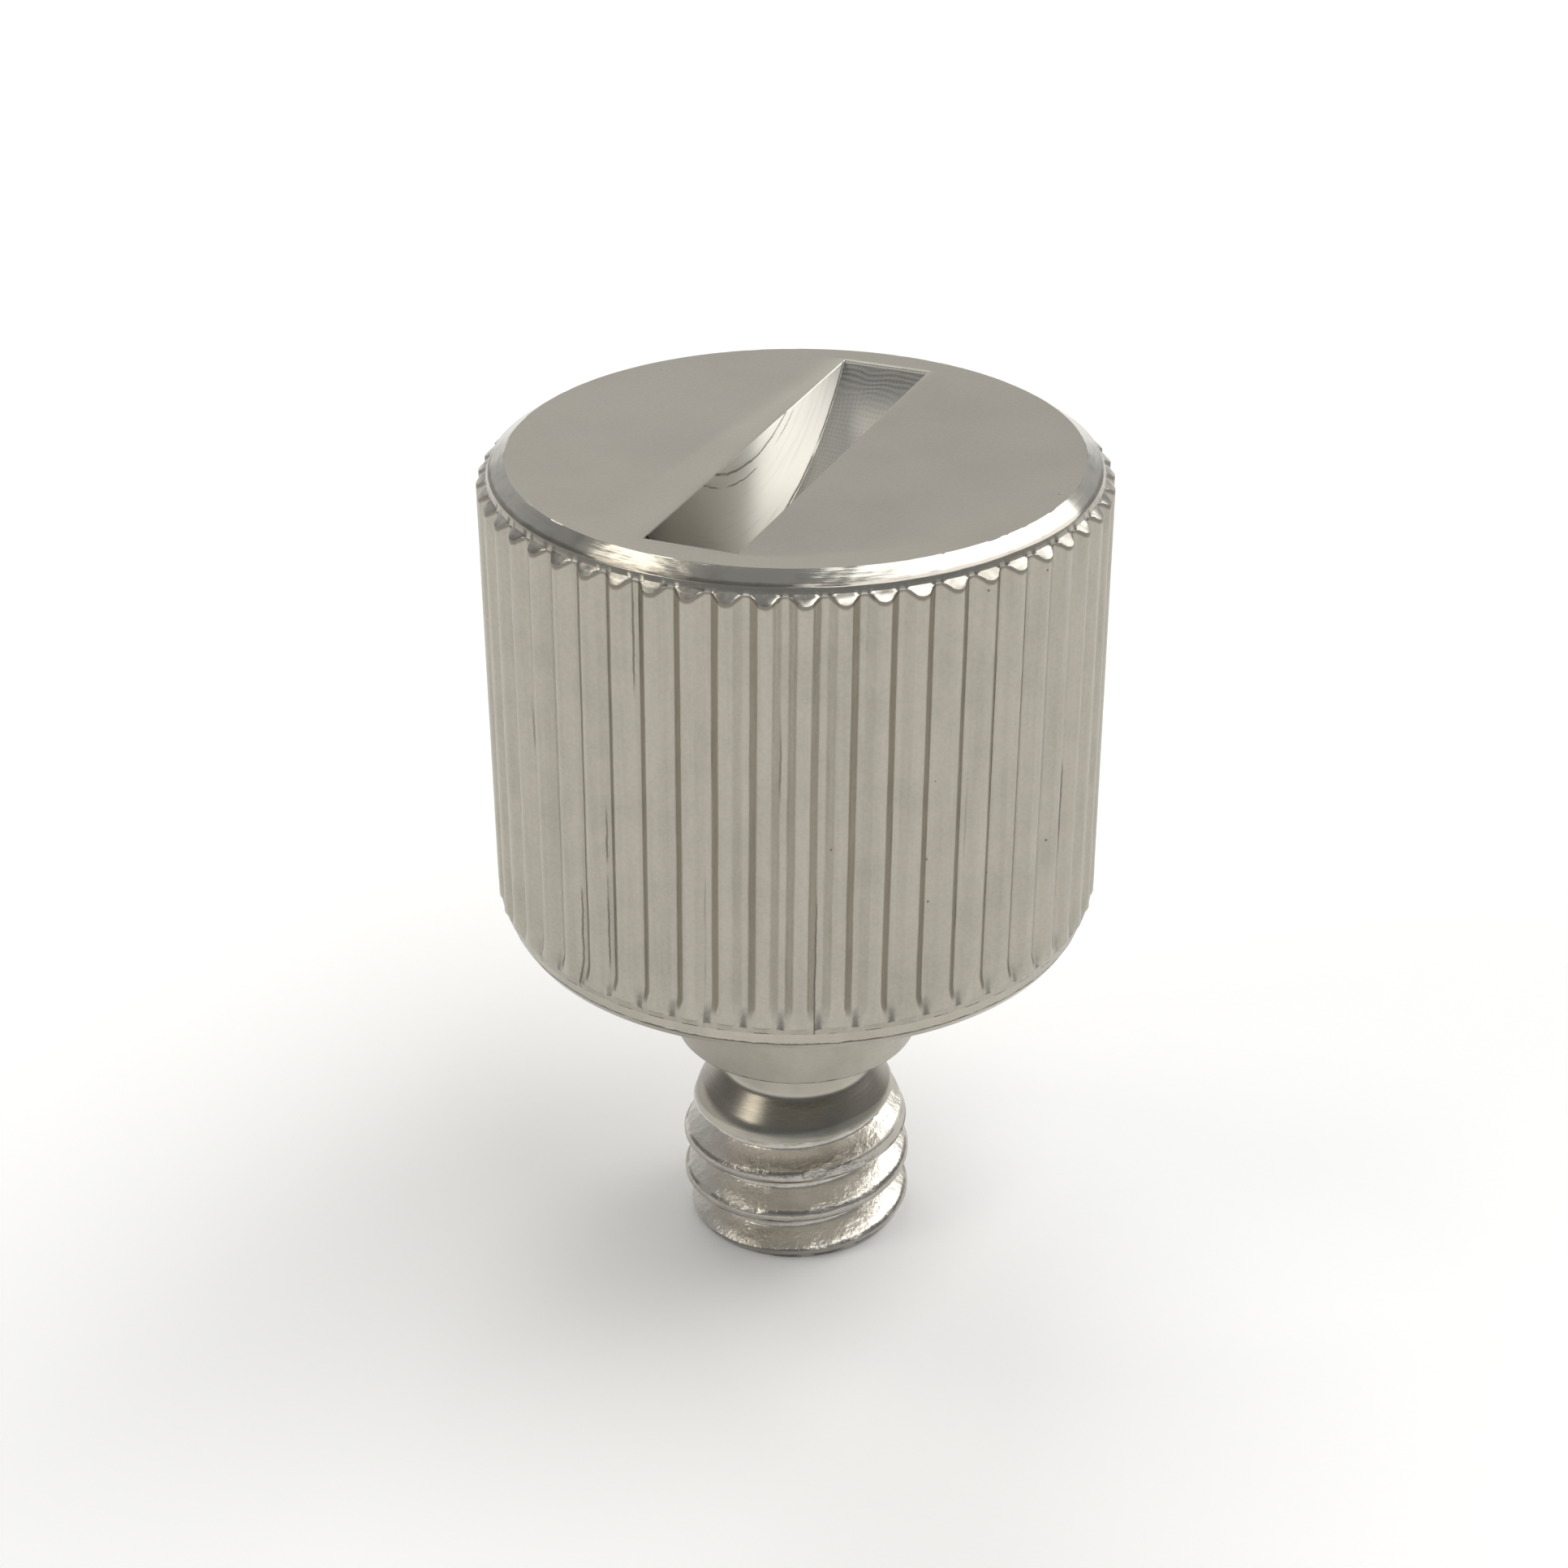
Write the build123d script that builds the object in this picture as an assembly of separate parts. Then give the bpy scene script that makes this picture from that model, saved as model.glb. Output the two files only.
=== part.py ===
from build123d import *
import os
from math import cos, radians, sin, sqrt

# ---------------------------------------------------------------- driving dimensions, mm
# The screw stands on its threaded tip: z = 0 is the tip face, +Z runs along the axis, and the
# driving slot lies along Y.
head_d = 15.5            # over the knurl crests
head_h = 12.45
boss_d = 6.45
boss_h = 3.87
shank_h = 5.88           # everything below the boss: neck, flare and thread

thread_d = 6.14          # 1/4"-20, outside diameter as cut
thread_pitch = 1.27
thread_start_z = 1.69    # height of one crest at +X
crest_flat = 0.26
root_flat = thread_pitch / 4
neck_d = 3.9             # undercut between boss and thread
neck_h = 1.30
flare_d = 5.16           # where the cone out of the neck ends and the thread's taper begins
flare_h = 0.61
runout_h = 1.55          # taper from there out to the full thread
tip_chamfer_r = 0.21
tip_chamfer_h = 0.45

slot_w = 2.3
slot_depth = 3.0
cutter_r = 8.0           # disc cutter plunged straight down

knurl_count = 54
knurl_depth = 0.23
land_share = 0.38        # part of one knurl pitch taken by the crest
floor_share = 0.19       # part of it taken by the groove's flat floor
land_crown = 0.05        # how much lower the crest's edges lie than its middle

collar_d = 14.92         # plain band above the knurl
rim_bevel_r = 0.42
rim_bevel_h = 0.28
collar_h = 0.43          # top face down to the knurl's upper chamfer
top_chamfer_h = 0.28     # on the knurl crests
hem_d = 15.00            # plain band below the knurl
hem_h = 0.55             # underside up to the knurl
hem_chamfer_h = 0.40     # on the knurl crests
foot_chamfer_r = 0.12    # round the head's underside
foot_chamfer_h = 0.20

# ---------------------------------------------------------------- levels worked out from them
boss_z = shank_h
head_z = boss_z + boss_h
top_z = head_z + head_h
neck_z = boss_z - neck_h
flare_z = neck_z - flare_h
full_thread_z = flare_z - runout_h
knurl_top_z = top_z - collar_h
knurl_low_z = head_z + hem_h

head_r, collar_r, hem_r = head_d / 2, collar_d / 2, hem_d / 2
boss_r, neck_r, flare_r, thread_r = boss_d / 2, neck_d / 2, flare_d / 2, thread_d / 2
root_r = head_r - knurl_depth


def turned(points):
    """Solid of revolution about Z from (radius, height) points."""
    with BuildSketch(Plane.XZ) as section:
        with BuildLine():
            Polyline(*points, close=True)
        make_face()
    return revolve(section.sketch, Axis.Z)


def polar(radius, degrees):
    """Point in the XY plane; 0 degrees is on the slot's line, at -Y."""
    return (radius * sin(radians(degrees)), -radius * cos(radians(degrees)))


# ---------------------------------------------------------------- knurled band
step = 360 / knurl_count
half_land = step * land_share / 2
half_floor = step * floor_share / 2
outline = []
for k in range(knurl_count):
    middle = (k + 0.5) * step
    left_root = polar(root_r, k * step + half_floor)
    left_edge = polar(head_r - land_crown, middle - half_land)
    crest = polar(head_r, middle)
    right_edge = polar(head_r - land_crown, middle + half_land)
    right_root = polar(root_r, (k + 1) * step - half_floor)
    next_root = polar(root_r, (k + 1) * step + half_floor)
    outline += [Line(left_root, left_edge), ThreePointArc(left_edge, crest, right_edge),
                Line(right_edge, right_root), Line(right_root, next_root)]

knurl_section = Face(Wire(outline)).moved(Location((0, 0, knurl_low_z)))
knurl_band = extrude(knurl_section, knurl_top_z - knurl_low_z, dir=(0, 0, 1))
knurl_limits = turned([
    (0, knurl_low_z),
    (hem_r, knurl_low_z),
    (head_r, knurl_low_z + hem_chamfer_h),
    (head_r, knurl_top_z - top_chamfer_h),
    (collar_r, knurl_top_z),
    (0, knurl_top_z),
])
knurl_band = knurl_band & knurl_limits

# ---------------------------------------------------------------- everything else that was turned
body = turned([
    (0, boss_z),
    (boss_r, boss_z),
    (boss_r, head_z),
    (hem_r - foot_chamfer_r, head_z),
    (hem_r, head_z + foot_chamfer_h),
    (hem_r, knurl_low_z),
    (root_r - knurl_depth, knurl_low_z),
    (root_r - knurl_depth, knurl_top_z),
    (collar_r, knurl_top_z),
    (collar_r, top_z - rim_bevel_h),
    (collar_r - rim_bevel_r, top_z),
    (0, top_z),
])

# ---------------------------------------------------------------- thread
thread_depth = sqrt(3) / 2 * (thread_pitch - crest_flat - root_flat)
clear = 0.1              # how far the groove's section reaches outside the thread
half_root = root_flat / 2
half_mouth = (thread_pitch - crest_flat) / 2 + clear / sqrt(3)
groove_low_z = thread_start_z - 2.5 * thread_pitch
groove_top_z = neck_z + thread_pitch / 2
with BuildSketch(Plane.XZ) as groove_section:
    with BuildLine():
        Polyline((thread_r - thread_depth, groove_low_z - half_root),
                 (thread_r - thread_depth, groove_low_z + half_root),
                 (thread_r + clear, groove_low_z + half_mouth),
                 (thread_r + clear, groove_low_z - half_mouth), close=True)
    make_face()
groove_path = Helix(thread_pitch, groove_top_z - groove_low_z, thread_r,
                    center=(0, 0, groove_low_z))
groove = sweep(groove_section.sketch, path=groove_path, is_frenet=True)

tip_slope = tip_chamfer_h / tip_chamfer_r
runout_slope = runout_h / (thread_r - flare_r)
shank_limits = turned([
    (0, 0),
    (thread_r - tip_chamfer_r, 0),
    (thread_r + clear, tip_chamfer_h + clear * tip_slope),
    (thread_r + clear, full_thread_z - clear * runout_slope),
    (flare_r, flare_z),
    (neck_r, neck_z),
    (neck_r, boss_z),
    (0, boss_z),
])
rod = Cylinder(thread_r, boss_z, align=(Align.CENTER, Align.CENTER, Align.MIN))
shank = (rod - groove) & shank_limits

# ---------------------------------------------------------------- one piece, then the slot
screw = body + knurl_band + shank
cutter = Cylinder(cutter_r, slot_w, rotation=(0, 90, 0))
screw -= cutter.moved(Location((0, 0, top_z - slot_depth + cutter_r)))

# ---------------------------------------------------------------- output
os.makedirs("parts", exist_ok=True)
export_step(screw, "parts/thumb_screw.step")
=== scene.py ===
"""Knurled thumb screw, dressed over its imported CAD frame, and its studio stage."""

from math import atan2, cos, degrees, pi, radians, sin, sqrt

import bmesh
import bpy
from mathutils import Matrix, Vector, noise


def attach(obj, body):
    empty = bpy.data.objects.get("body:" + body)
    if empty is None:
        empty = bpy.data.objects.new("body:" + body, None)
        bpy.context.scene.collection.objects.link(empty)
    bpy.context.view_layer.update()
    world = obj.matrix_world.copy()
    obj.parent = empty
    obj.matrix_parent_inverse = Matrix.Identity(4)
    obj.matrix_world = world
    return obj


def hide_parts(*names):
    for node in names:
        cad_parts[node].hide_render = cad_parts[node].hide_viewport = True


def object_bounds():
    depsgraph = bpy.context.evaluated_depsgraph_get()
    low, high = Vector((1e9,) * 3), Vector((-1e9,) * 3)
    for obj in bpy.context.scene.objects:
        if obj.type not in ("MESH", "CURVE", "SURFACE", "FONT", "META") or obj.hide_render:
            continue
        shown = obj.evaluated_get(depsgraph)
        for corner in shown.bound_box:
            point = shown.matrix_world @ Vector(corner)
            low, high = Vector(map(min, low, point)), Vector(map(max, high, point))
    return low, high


bl_info = {
    "name": "Knurled Thumb Screw",
    "version": (1, 0, 0),
    "blender": (4, 5, 0),
    "location": "View3D > Sidebar > Thumb Screw",
    "description": "Builds a nickel-plated knurled thumb screw and its studio stage",
    "category": "Add Mesh",
}

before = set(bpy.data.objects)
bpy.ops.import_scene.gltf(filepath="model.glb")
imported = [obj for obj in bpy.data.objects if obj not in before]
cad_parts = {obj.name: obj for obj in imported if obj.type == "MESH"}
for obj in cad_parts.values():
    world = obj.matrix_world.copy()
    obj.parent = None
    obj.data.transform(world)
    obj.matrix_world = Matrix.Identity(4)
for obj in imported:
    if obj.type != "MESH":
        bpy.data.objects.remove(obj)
CAD_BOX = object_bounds()
NODE = "thumb_screw"
MM = 0.001
TOP = CAD_BOX[1].z                 # height of the head's top face
HEAD_RADIUS = CAD_BOX[1].x         # over the knurl crests
BEAD = 0.17 * MM                   # how far the beads at the crests' upper ends reach inwards
SHY = 0.006 * MM                   # how far the crests stay inside the solid's
CREASE = 30.0
BRIGHT_TAPER = 0.5 * MM            # how far down the taper the neck's bright finish reaches
WHITE = (1.0, 1.0, 1.0, 1.0)


def length(name, about, value):
    return bpy.props.FloatProperty(name=name, description=about, default=value, min=0.0,
                                   subtype="DISTANCE", unit="LENGTH", precision=5)


def angle(name, about, value):
    return bpy.props.FloatProperty(name=name, description=about, default=value,
                                   subtype="ANGLE", unit="ROTATION")


def share(name, about, value):
    return bpy.props.FloatProperty(name=name, description=about, default=value, min=0.0, max=1.0,
                                   subtype="FACTOR")


def power(name, about, value):
    return bpy.props.FloatProperty(name=name, description=about, default=value, min=0.0, unit="POWER")


def tint(name, about, value):
    return bpy.props.FloatVectorProperty(name=name, description=about, default=value, size=3,
                                         min=0.0, max=1.0, subtype="COLOR")


# ---------------------------------------------------------------- sizes and colours

class FinishSettings(bpy.types.PropertyGroup):
    nickel: tint("Nickel", "Colour of the nickel plating", (0.458, 0.430, 0.372))
    bright: tint("Bright nickel", "Colour of the plating where it is polished", (0.53, 0.51, 0.46))
    # painted light: the thread's nickel is lighter than the head's, to stand in for light that its flanks lack
    lightened_thread_nickel: tint("Cut nickel", "Colour of the plating on the thread", (0.63, 0.60, 0.545))
    # This colour also gives the painted shade in the knurl's cracks, under its beads and lands, on the thread's
    # crests, on the cone and taper and at the slot's -Y end
    dirt_and_shade: tint("Stain", "Colour of the dirt in cracks and corners", (0.10, 0.085, 0.07))
    satin: share("Satin roughness", "Roughness of the faced top and the knurl", 0.34)
    turned: share("Turned roughness", "Roughness of the turned hem and boss", 0.26)
    polish: share("Bright roughness", "Roughness of the bevel", 0.13)
    cut: share("Cut roughness", "Roughness of the thread and the cone above it", 0.30)
    sawn: share("Sawn roughness", "Roughness of the slot's walls", 0.60)
    milled: tint("Milled nickel", "Colour of the freshly sawn slot", (0.98, 0.955, 0.89))


class HeadSettings(bpy.types.PropertyGroup):
    height: length("Height", "From the underside to the top face", 12.45 * MM)
    teeth: bpy.props.IntProperty(name="Teeth", description="Number of knurl crests", default=54, min=12)
    groove_depth: length("Groove depth", "From the crest to the groove's floor", 0.23 * MM)
    groove_floor: share("Groove floor", "Part of one pitch taken by the groove's floor", 0.19)
    land: share("Land", "Part of one pitch taken by the crest", 0.38)
    crown: length("Crown", "How far the land's edges lie below its middle", 0.05 * MM)
    lean: angle("Lean", "Twist of the knurl from its lower end to its upper end", radians(1.1))
    collar_radius: length("Collar radius", "Plain band above the knurl", 7.46 * MM)
    collar_height: length("Collar height", "From the top face to the knurl's chamfer", 0.43 * MM)
    bevel_width: length("Bevel width", "Width of the bevel round the top face", 0.42 * MM)
    bevel_height: length("Bevel height", "Height of that bevel", 0.28 * MM)
    upper_chamfer: length("Upper chamfer", "Height of the chamfer at the crests' upper ends", 0.14 * MM)
    lower_end: length("Lower end", "Height over which the grooves narrow at their lower ends", 0.50 * MM)
    plain_end: length("Plain end", "Height from the hem to the grooves' lower ends", 0.24 * MM)
    hem_radius: length("Hem radius", "Plain band below the knurl", 7.50 * MM)
    hem_height: length("Hem height", "From the underside to the knurl", 0.55 * MM)
    foot_width: length("Foot width", "Width of the chamfer round the underside", 0.12 * MM)
    foot_height: length("Foot height", "Height of that chamfer", 0.20 * MM)


class SlotSettings(bpy.types.PropertyGroup):
    width: length("Width", "Width of the driving slot", 2.3 * MM)
    depth: length("Depth", "Depth at the middle of the slot", 3.0 * MM)
    cutter: length("Cutter radius", "Radius of the disc that cut the slot", 8.0 * MM)
    edge: length("Edge", "Width of the broken edge round the slot", 0.03 * MM)


class BossSettings(bpy.types.PropertyGroup):
    radius: length("Radius", "Radius of the plain boss under the head", 3.225 * MM)
    height: length("Height", "Height of the boss", 3.87 * MM)
    edge: length("Edge", "Width of the broken lower edge", 0.04 * MM)


class ThreadSettings(bpy.types.PropertyGroup):
    radius: length("Radius", "Outside radius of the thread", 3.07 * MM)
    pitch: length("Pitch", "Advance in one turn", 1.27 * MM)
    crest: length("Crest", "Width of the crest", 0.26 * MM)
    root: length("Root", "Width of the root", 0.225 * MM)
    start: length("Start", "Height of one crest at +X", 1.69 * MM)
    shank: length("Shank", "From the tip to the boss", 5.88 * MM)
    neck_radius: length("Neck radius", "Radius of the undercut below the boss", 1.95 * MM)
    neck_height: length("Neck height", "Height of the undercut", 1.30 * MM)
    flare_radius: length("Flare radius", "Radius where the cone out of the neck ends", 2.58 * MM)
    flare_height: length("Flare height", "Height of that cone", 0.61 * MM)
    runout: length("Run-out", "Height of the taper from there to the full thread", 1.30 * MM)
    tip_width: length("Tip width", "Width of the chamfer at the tip", 0.21 * MM)
    tip_height: length("Tip height", "Height of the chamfer at the tip", 0.45 * MM)


class StageSettings(bpy.types.PropertyGroup):
    floor: tint("Floor", "Colour of the floor", (0.93, 0.935, 0.94))
    window: power("Window", "Power of the broad window light", 13.2)
    lamp: power("Lamp", "Power of the warm lamp on the left", 1.65)
    glow: power("Glow", "Power of the small warm lamp above it", 0.9)
    back: power("Back lamp", "Power of the lamp at the back", 3.6)
    room: share("Room", "Brightness of the room", 0.34)
    wall: share("Far wall", "Brightness of the wall across from the viewer", 0.57)
    shade: share("Shade", "Brightness of the room's dark side, behind the viewer", 0.28)


# ---------------------------------------------------------------- shader helpers

def node(tree, kind, inputs=(), **settings):
    """Adds a shader node; inputs are (socket, value or output) pairs."""
    made = tree.nodes.new(kind)
    for name, value in settings.items():
        setattr(made, name, value)
    for socket, value in dict(inputs).items():
        if isinstance(value, bpy.types.NodeSocket):
            tree.links.new(value, made.inputs[socket])
        else:
            made.inputs[socket].default_value = value
    return made


def maths(tree, operation, a, b=0.0, c=0.0):
    return node(tree, "ShaderNodeMath", {0: a, 1: b, 2: c}, operation=operation).outputs[0]


def ramp(tree, value, low, high, out_low=0.0, out_high=1.0):
    """Smooth step from out_low at low to out_high at high."""
    return node(tree, "ShaderNodeMapRange", {"Value": value, "From Min": low, "From Max": high,
                "To Min": out_low, "To Max": out_high}, interpolation_type="SMOOTHSTEP").outputs[0]


def grain(tree, vector, scale, detail, roughness=0.5):
    return node(tree, "ShaderNodeTexNoise", {"Vector": vector, "Scale": scale, "Detail": detail,
                "Roughness": roughness}).outputs["Fac"]


def blend(tree, factor, a, b):
    return node(tree, "ShaderNodeMix", {0: factor, 6: a, 7: b}, data_type="RGBA").outputs[2]


def combine(tree, x, y, z):
    return node(tree, "ShaderNodeCombineXYZ", {0: x, 1: y, 2: z}).outputs[0]


def paint(colour):
    return (*colour, 1.0)


class Metal:
    """A plating material whose nodes measure in millimetres on the object's own coordinates."""

    def __init__(self, name, look, colour, roughness):
        self.material = bpy.data.materials.new(name)
        self.material.use_nodes = True
        self.tree = tree = self.material.node_tree
        tree.nodes.clear()
        self.look = look
        self.colour, self.height = paint(colour), []
        self.shader = node(tree, "ShaderNodeBsdfPrincipled", {"Metallic": 1.0, "Roughness": roughness})
        output = node(tree, "ShaderNodeOutputMaterial")
        tree.links.new(self.shader.outputs[0], output.inputs[0])
        place = node(tree, "ShaderNodeTexCoord").outputs["Object"]
        self.place = node(tree, "ShaderNodeVectorMath", {0: place, "Scale": 1 / MM},
                          operation="SCALE").outputs[0]
        parts = node(tree, "ShaderNodeSeparateXYZ", {0: self.place}).outputs
        self.x, self.y, self.z = parts[0], parts[1], parts[2]
        flat = combine(tree, self.x, self.y, 0.0)
        self.radius = node(tree, "ShaderNodeVectorMath", {0: flat}, operation="LENGTH").outputs["Value"]

    def turns(self):
        """Angle from -Y towards +X, in turns."""
        return maths(self.tree, "DIVIDE",
                     maths(self.tree, "ARCTAN2", self.x, maths(self.tree, "MULTIPLY", self.y, -1.0)), 2 * pi)

    def less(self, a, b):
        return maths(self.tree, "SUBTRACT", a, b)

    def times(self, a, b):
        return maths(self.tree, "MULTIPLY", a, b)

    def stretched(self, x, y, z, shift=0.0):
        return node(self.tree, "ShaderNodeMapping", {"Vector": self.place, "Scale": (x, y, z),
                    "Location": (shift, shift, shift)}).outputs[0]

    def rings(self, across, along):
        """Coordinates for marks that run round the axis."""
        return combine(self.tree, self.times(self.radius, across), self.times(self.z, across),
                       self.times(self.x, along))

    def thread_rise(self, thread):
        """Height above the middle of the nearest crest of the thread, in mm."""
        pitch = thread.pitch / MM
        climb = self.less(self.less(self.z, self.times(self.turns(), pitch)), thread.start / MM - pitch / 4)
        phase = maths(self.tree, "FRACT", maths(self.tree, "MULTIPLY_ADD", climb, 1 / pitch, 0.5))
        return self.times(self.less(phase, 0.5), pitch)

    def film(self, scale, low, high, most):
        """A thin uneven tarnish."""
        self.darkened(ramp(self.tree, grain(self.tree, self.place, scale, 3.0), low, high, 0.0, most))

    def darkened(self, factor):
        """Mixes the colour of dirt and of painted shade into the metal."""
        self.colour = blend(self.tree, factor, self.colour, paint(self.look.dirt_and_shade))

    def hairline(self, offset, width, wobble, scale, least, most, strength, shift=0.0, where=None):
        """A thin broken dark line where offset, in millimetres, passes zero: dirt at some uses, painted shade at
        others.
        """
        tree = self.tree
        shake = maths(tree, "MULTIPLY_ADD", grain(tree, self.stretched(1, 1, 1, shift), scale, 3.0, 0.7),
                      4 * wobble, -2 * wobble)
        reach = maths(tree, "ABSOLUTE", maths(tree, "ADD", offset, shake))
        line = ramp(tree, reach, width * 0.35, width, strength, 0.0)
        gaps = grain(tree, self.stretched(1, 1, 1, shift + 7.0), scale * 0.4, 2.0)
        line = self.times(line, ramp(tree, gaps, least, most))
        if where is not None:
            line = self.times(line, where)
        self.darkened(line)
        return line

    def pits(self, spacing, size, chance):
        """Scattered round pinholes."""
        tree = self.tree
        cells = node(tree, "ShaderNodeTexVoronoi",
                     {"Vector": self.stretched(1, 1, 1), "Scale": 1 / spacing}, feature="F1")
        draw = node(tree, "ShaderNodeSeparateColor", {0: cells.outputs["Color"]}).outputs[0]
        picked = maths(tree, "LESS_THAN", draw, chance)
        edge = size / spacing
        self.darkened(self.times(ramp(tree, cells.outputs["Distance"], edge * 0.5, edge, 0.85, 0.0), picked))

    def bump(self, height, depth):
        """Adds a height, in units of depth millimetres."""
        self.height.append(self.times(height, depth))

    def finish(self, roughness=None):
        tree = self.tree
        if isinstance(self.colour, bpy.types.NodeSocket):
            tree.links.new(self.colour, self.shader.inputs["Base Color"])
        else:
            self.shader.inputs["Base Color"].default_value = self.colour
        if roughness is not None:
            tree.links.new(roughness, self.shader.inputs["Roughness"])
        if self.height:
            total = self.height[0]
            for more in self.height[1:]:
                total = maths(tree, "ADD", total, more)
            bump = node(tree, "ShaderNodeBump", {"Strength": 1.0, "Distance": MM, "Height": total})
            tree.links.new(bump.outputs[0], self.shader.inputs["Normal"])
        return self.material


# ---------------------------------------------------------------- finishes

def satin_face(look):
    """The faced top: even satin with a faint cloudy film."""
    metal = Metal("satin_nickel", look, look.nickel, look.satin)
    tree = metal.tree
    metal.film(0.35, 0.35, 0.75, 0.10)
    speck = grain(tree, metal.place, 12.0, 2.0)
    metal.darkened(ramp(tree, speck, 0.3, 0.7, 0.0, 0.06))
    metal.pits(1.1, 0.035, 0.25)
    metal.bump(speck, 0.0016)
    return metal.finish(maths(tree, "MULTIPLY_ADD", speck, 0.10, look.satin - 0.05))


def bright_bevel(look, head):
    """The turned bevel round the top, lightly dented, with dirt along its foot."""
    metal = Metal("bright_bevel_nickel", look, look.bright, look.polish)
    tree = metal.tree
    brushed = grain(tree, metal.rings(11.0, 0.35), 1.0, 4.0, 0.7)
    lumps = grain(tree, metal.rings(2.2, 0.8), 1.0, 2.0, 0.6)
    metal.film(1.4, 0.45, 0.75, 0.25)
    foot = metal.less(metal.z, (TOP - head.bevel_height) / MM + 0.012)
    metal.hairline(foot, 0.07, 0.012, 2.2, 0.15, 0.45, 0.55)
    metal.bump(brushed, 0.006)
    metal.bump(lumps, 0.022)
    return metal.finish(maths(tree, "MULTIPLY_ADD", brushed, 0.12, look.polish - 0.06))


def scalloped(look):
    """The chamfer across the crests' upper ends."""
    metal = Metal("scalloped_nickel", look, look.bright, look.polish)
    tree = metal.tree
    lumps = grain(tree, metal.place, 1.6, 2.0, 0.5)
    fine = grain(tree, metal.rings(9.0, 2.0), 1.0, 3.0, 0.6)
    metal.film(1.8, 0.35, 0.65, 0.50)
    metal.bump(lumps, 0.03)
    metal.bump(fine, 0.004)
    return metal.finish(maths(tree, "MULTIPLY_ADD", fine, 0.12, look.polish + 0.06))


def knurled(look, head):
    """Rolled knurl: drawn lengthways, with torn seams beside the groove floors whose dark lines are painted
    shade in the cracks, and painted shadow under the beads and under the lands' lower ends.
    """
    metal = Metal("knurled_nickel", look, look.nickel, look.satin)
    tree = metal.tree
    low, high = (TOP - head.height + head.hem_height) / MM, (TOP - head.collar_height) / MM
    rise = maths(tree, "MULTIPLY_ADD", metal.z, 1 / (high - low), -low / (high - low) - 0.5)
    count = metal.less(metal.times(metal.turns(), head.teeth),
                       metal.times(rise, head.lean * head.teeth / (2 * pi)))
    tooth = maths(tree, "FLOOR", count)
    across = maths(tree, "FRACT", count)
    pitch = 2 * pi * HEAD_RADIUS / MM / head.teeth
    drawn = grain(tree, metal.stretched(5.0, 5.0, 0.12), 1.0, 3.0, 0.6)
    speck = grain(tree, metal.place, 10.0, 2.0)
    metal.film(0.8, 0.4, 0.75, 0.10)
    metal.darkened(ramp(tree, drawn, 0.35, 0.75, 0.0, 0.10))
    metal.darkened(ramp(tree, speck, 0.3, 0.7, 0.0, 0.08))
    floor_edge = head.groove_floor / 2
    # dark lines along the torn seams: painted shade in the cracks
    for edge, seed, least in ((1 - floor_edge, 0.0, 0.55), (floor_edge, 31.0, 0.59)):
        lot = maths(tree, "MULTIPLY_ADD", tooth, 0.73, seed)
        torn = grain(tree, combine(tree, lot, metal.times(metal.z, 0.13), seed), 1.0, 1.0)
        metal.hairline(metal.times(metal.less(across, edge), pitch), 0.032, 0.018, 1.5, 0.34, 0.48, 0.7, seed,
                       ramp(tree, torn, least, least + 0.06))
    # painted shadow under the beads, along the chamfer's lower edge
    cut = maths(tree, "MULTIPLY_ADD", metal.less(metal.radius, (HEAD_RADIUS - BEAD) / MM),
                head.upper_chamfer / BEAD, 0.035)
    lip = metal.less(metal.less(high, cut), metal.z)
    metal.hairline(metal.less(lip, 0.03), 0.12, 0.010, 3.0, 0.10, 0.35, 0.62, 3.0)
    # painted shadow under the lands' lower ends
    land = ramp(tree, maths(tree, "ABSOLUTE", metal.less(across, 0.5)),
                head.land / 2, head.land / 2 + 0.08, 1.0, 0.0)
    metal.hairline(metal.less(metal.z, low + 0.02), 0.045, 0.02, 3.0, 0.36, 0.5, 0.85, 5.0, land)
    metal.pits(0.9, 0.04, 0.22)
    metal.bump(drawn, 0.006)
    metal.bump(speck, 0.003)
    return metal.finish(maths(tree, "MULTIPLY_ADD", speck, 0.08, look.satin - 0.04))


def turned(look, levels):
    """Plain turned bands; levels are the heights of edges that hold dirt."""
    metal = Metal("turned_nickel", look, look.nickel, look.turned)
    tree = metal.tree
    cut = grain(tree, metal.rings(9.0, 0.06), 1.0, 3.0, 0.6)
    speck = grain(tree, metal.place, 10.0, 2.0)
    metal.film(1.1, 0.4, 0.75, 0.12)
    metal.darkened(ramp(tree, speck, 0.3, 0.7, 0.0, 0.06))
    for level, width, least in levels:
        metal.hairline(metal.less(metal.z, level / MM), width, 0.024, 2.4, least, least + 0.12, 0.9, 11.0)
    metal.pits(1.3, 0.035, 0.2)
    metal.bump(cut, 0.0024)
    metal.bump(speck, 0.002)
    return metal.finish(maths(tree, "MULTIPLY_ADD", cut, 0.12, look.turned - 0.06))


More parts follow.
